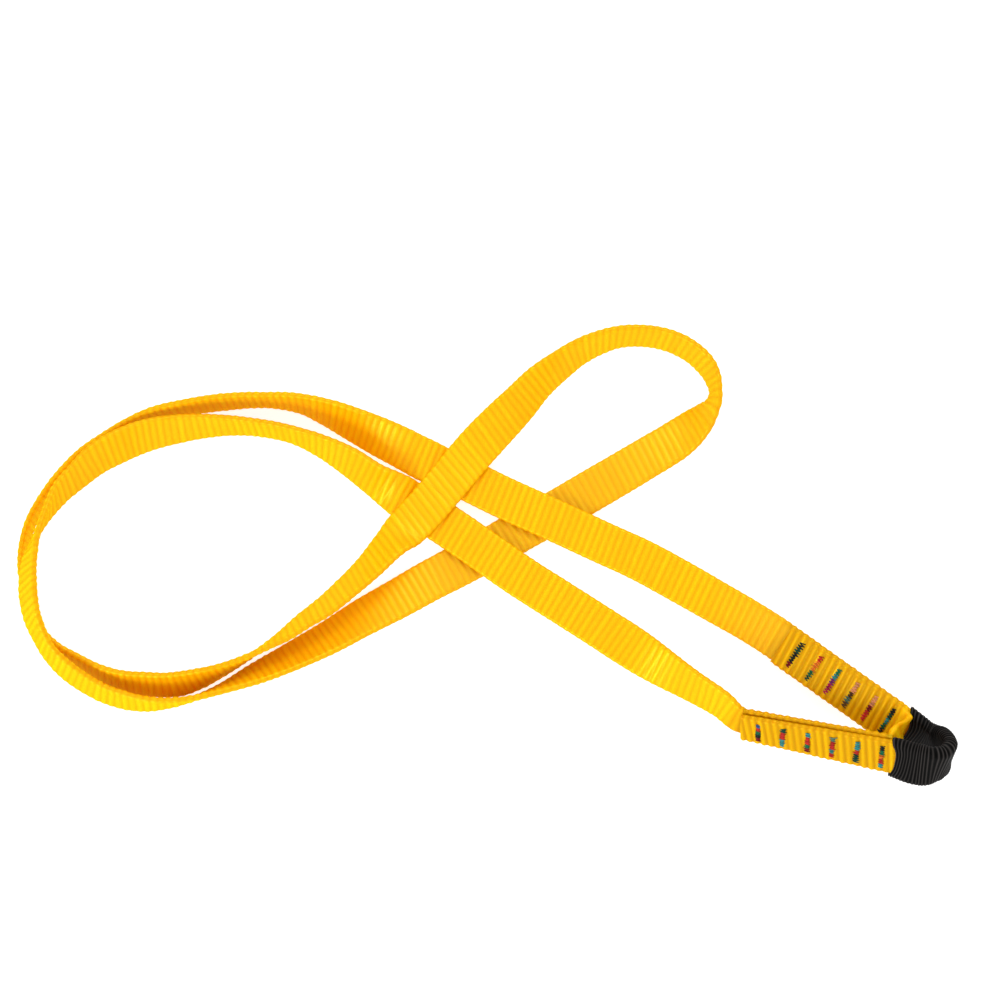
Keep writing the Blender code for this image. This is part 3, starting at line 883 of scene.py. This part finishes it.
def yellow_webbing():
    """Yellow nylon: painted highlight on rib crests and yarn tops, painted shade in rib valleys,
    over sewn legs, over shaded stretches and along edges; light through the cloth, soft gloss.
    """
    n = Nodes("webbing_yellow")
    yarns, edge = yarn_height(n, YARN_PITCH)
    rib = n.attribute("rib")
    sewn = n.attribute("sewn")
    weave = n.attribute("weave", "Vector")
    broad = n.noise(60.0, 3.0, weave)
    fine = n.noise(2600.0, 2.0, weave)
    # painted shade in the rib valleys and painted highlight on the rib crests
    tone = n.mix(n.math("POWER", rib, RIB_LIGHT_POWER, clamp=True), RIB_VALLEY_SHADE, RIB_CREST_LIGHT)
    # painted highlight on the yarn tops
    tone = n.mix(n.scaled(yarns, YARN_LIGHT_SHARE, clamp=True), tone, YARN_TOP_LIGHT)
    patch = n.scaled(n.math("SUBTRACT", broad, PATCH_START), PATCH_GAIN, clamp=True)
    tone = n.mix(patch, tone, PATCH)
    # painted shade over the sewn legs, deeper in the pucker valleys
    tone = n.mix(n.scaled(sewn, SEWN_SHADE_SHARE), tone, n.mix(rib, SEWN_VALLEY_SHADE, SEWN_CREST_SHADE))
    # painted shade on the stretches under the crossing and near the sewn end
    tone = n.mix(n.scaled(n.attribute("stretch_shade"), STRETCH_SHADE_SHARE), tone, STRETCH_SHADE)
    # painted shade along the rounded edges
    rim = n.scaled(n.math("SUBTRACT", edge, EDGE_SHADE_START), EDGE_SHADE_GAIN, clamp=True)
    tone = n.mix(rim, tone, EDGE_SHADE)
    tone = n.mix(n.scaled(n.attribute("scorch"), SEALED_SHARE), tone, SEALED)
    height = n.math("ADD", n.scaled(yarns, 0.9), n.scaled(fine, 0.35))
    normal = n.bump(height, strength=0.5, depth=0.12 * MM)
    n.shade({
        "Base Color": tone,
        "Roughness": n.math("ADD", n.scaled(fine, 0.22), 0.42),
        "Specular IOR Level": 0.0,
        "Subsurface Weight": 0.40,
        "Subsurface Radius": (1.0, 0.40, 0.02),
        "Subsurface Scale": 3.0 * MM,
        "Normal": normal,
    })
    return n.finish(translucent=0.12, colour=tone, gloss=0.09, shine=GLOSS, normal=normal)


def black_sleeve():
    """Matt black weave, with painted shade in its rib valleys and a grey painted highlight on its
    rib tops.
    """
    n = Nodes("sleeve_black")
    yarns, _ = yarn_height(n, SLEEVE_YARN_PITCH)
    rib = n.attribute("rib")
    fine = n.noise(2400.0, 2.0, n.attribute("weave", "Vector"))
    # painted shade in the rib valleys, painted grey highlight on the rib tops
    tone = n.mix(n.math("POWER", rib, SLEEVE_HIGHLIGHT_POWER, clamp=True), SLEEVE_VALLEY_SHADE, SLEEVE_CREST_HIGHLIGHT)
    tone = n.mix(n.scaled(fine, FUZZ_SHARE), tone, SLEEVE_FUZZ)
    height = n.math("ADD", n.scaled(yarns, 0.8), n.scaled(fine, 0.3))
    n.shade({
        "Base Color": tone,
        "Roughness": 0.5,
        "Specular IOR Level": 0.03,
        "Normal": n.bump(height, strength=0.45, depth=0.10 * MM),
    })
    return n.finish()


def tack_thread():
    """Variegated thread with its twist as fine dark turns."""
    n = Nodes("tack_thread")
    turns = n.math("DIVIDE", n.attribute("run"), THREAD_TWIST)
    twist = n.math("PINGPONG", turns, 0.5)
    shade = n.math("ADD", n.scaled(twist, TWIST_SHADE), THREAD_SHADE)
    n.shade({
        "Base Color": n.mix(shade, THREAD_DARK, n.attribute("ink", "Color")),
        "Roughness": 0.42,
        "Specular IOR Level": 0.08,
        "Normal": n.bump(twist, strength=0.4, depth=0.08 * MM),
    })
    return n.finish()


def pale_floor():
    """Near-white surface that glows a little, so that shadows stay soft."""
    n = Nodes("pale_floor")
    n.shade({
        "Base Color": n.mix(n.scaled(n.noise(3.0, 3.0), 0.3), FLOOR_LIGHT, FLOOR_DARK),
        "Roughness": 0.9,
        "Specular IOR Level": 0.1,
        "Emission Color": WHITE,
        "Emission Strength": FLOOR_GLOW,
    })
    return n.finish()


# ---------------------------------------------------------------- object
def bend(piece, body, fold):
    """Bake a piece's placement into its mesh."""
    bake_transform(piece)


strip = Strip(
    leg_stations(UPPER_LEG, "inner", True)
    + UTURN
    + leg_stations(LOWER_LEG, "inner", False)
    + TOWARDS_LEFT
    + LEFT_OUTER
    + UNDERPASS
    + FAR_BIGHT
    + OVERPASS
    + LEFT_INNER
    + TOWARDS_RIGHT
    + leg_stations(UPPER_LEG, "outer", True)
    + EYE
    + leg_stations(LOWER_LEG, "outer", False)
)
TOTAL = float(strip.arc[-1])

yellow = yellow_webbing()
splits = [0.0]
for spot in SPLIT_SPOTS:
    splits.append(round(strip.nearest(spot) / RIB_PITCH) * RIB_PITCH)
splits.append(TOTAL)

# each length of webbing: its name, body and fold, and the nodes it stands for
PLAN = (
    ("webbing_lower_strand", "sewn_end", SEWN_BEND,
     ("webbing_inner_ply", "webbing_middle_left_bound")),
    ("webbing_outer_turn", "left_loop", LEFT_BEND,
     ("webbing_left_outer_turn",)),
    ("webbing_small_loop", "far_bight", FAR_BEND,
     ("webbing_far_bight", "webbing_middle_under")),
    ("webbing_inner_turn", "left_loop", LEFT_BEND,
     ("webbing_left_inner_turn", "webbing_middle_over")),
    ("webbing_upper_strand", "sewn_end", SEWN_BEND,
     ("webbing_outer_ply", "webbing_middle_right_bound")),
)
LAST = len(PLAN) - 1
for k, (name, body, fold, nodes) in enumerate(PLAN):
    piece = webbing_piece(name, strip, splits[k], splits[k + 1], yellow, k == 0, k == LAST)
    bend(piece, body, fold)
    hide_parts(*nodes)

black = black_sleeve()
last_tenth = TOTAL * 0.9
sleeve_ends = [strip.nearest(spot, low=last_tenth) for spot in SLEEVE_SPOTS]
tube = sleeve("eye_sleeve_tube", strip, *sleeve_ends, black)
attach(tube, "sewn_end")
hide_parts("eye_sleeve")

thread = tack_thread()
LEGS = ((UPPER_LEG, UPPER_TACKS, UPPER_INKS), (LOWER_LEG, LOWER_TACKS, LOWER_INKS))
number = 0
for leg, places, inks in LEGS:
    for along, order in zip(places, inks):
        number += 1
        tack = bar_tack("tack_stitching_%02d" % number, leg, along, order, thread)
        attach(tack, "sewn_end")
        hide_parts("bar_tack_%02d" % number)

# ---------------------------------------------------------------- stage
floor_mesh = bpy.data.meshes.new("floor")
corners = [(x * FLOOR_HALF, y * FLOOR_HALF, 0) for x, y in ((-1, -1), (1, -1), (1, 1), (-1, 1))]
floor_mesh.from_pydata(corners, [], [(0, 1, 2, 3)])
floor_mesh.materials.append(pale_floor())
floor = bpy.data.objects.new("floor", floor_mesh)
floor.location.z = -FLOOR_DROP
bpy.context.scene.collection.objects.link(floor)


def place_at(name, data, place, target):
    """Link a lamp or camera at a place, turned towards a target."""
    obj = bpy.data.objects.new(name, data)
    obj.location = place
    obj.rotation_mode = "QUATERNION"
    obj.rotation_quaternion = (target - obj.location).to_track_quat("-Z", "Y")
    bpy.context.scene.collection.objects.link(obj)
    return obj


def soft_light(name, place, size, power):
    """Square lamp turned towards the origin."""
    lamp = bpy.data.lights.new(name, "AREA")
    lamp.size = size
    lamp.energy = power
    place_at(name, lamp, place, Vector((0, 0, 0)))


soft_light("light_north", (0.15, 0.75, 0.95), size=0.5, power=4.0)
soft_light("light_south", (-0.80, -1.05, 0.75), size=0.6, power=10.0)

world = bpy.data.worlds.new("studio")
world.use_nodes = True
sky = world.node_tree.nodes["Background"]
sky.inputs[0].default_value = WHITE
sky.inputs[1].default_value = WORLD_LIGHT
bpy.context.scene.world = world

camera_data = bpy.data.cameras.new("camera")
camera_data.sensor_width = CAMERA_SENSOR
camera_data.lens = CAMERA_LENS
target = Vector(CAMERA_TARGET)
tilt = math.radians(CAMERA_TILT)
back = CAMERA_DISTANCE * Vector((0, -math.cos(tilt), math.sin(tilt)))
bpy.context.scene.camera = place_at("camera", camera_data, target + back, target)
bpy.context.scene.view_settings.view_transform = "Standard"
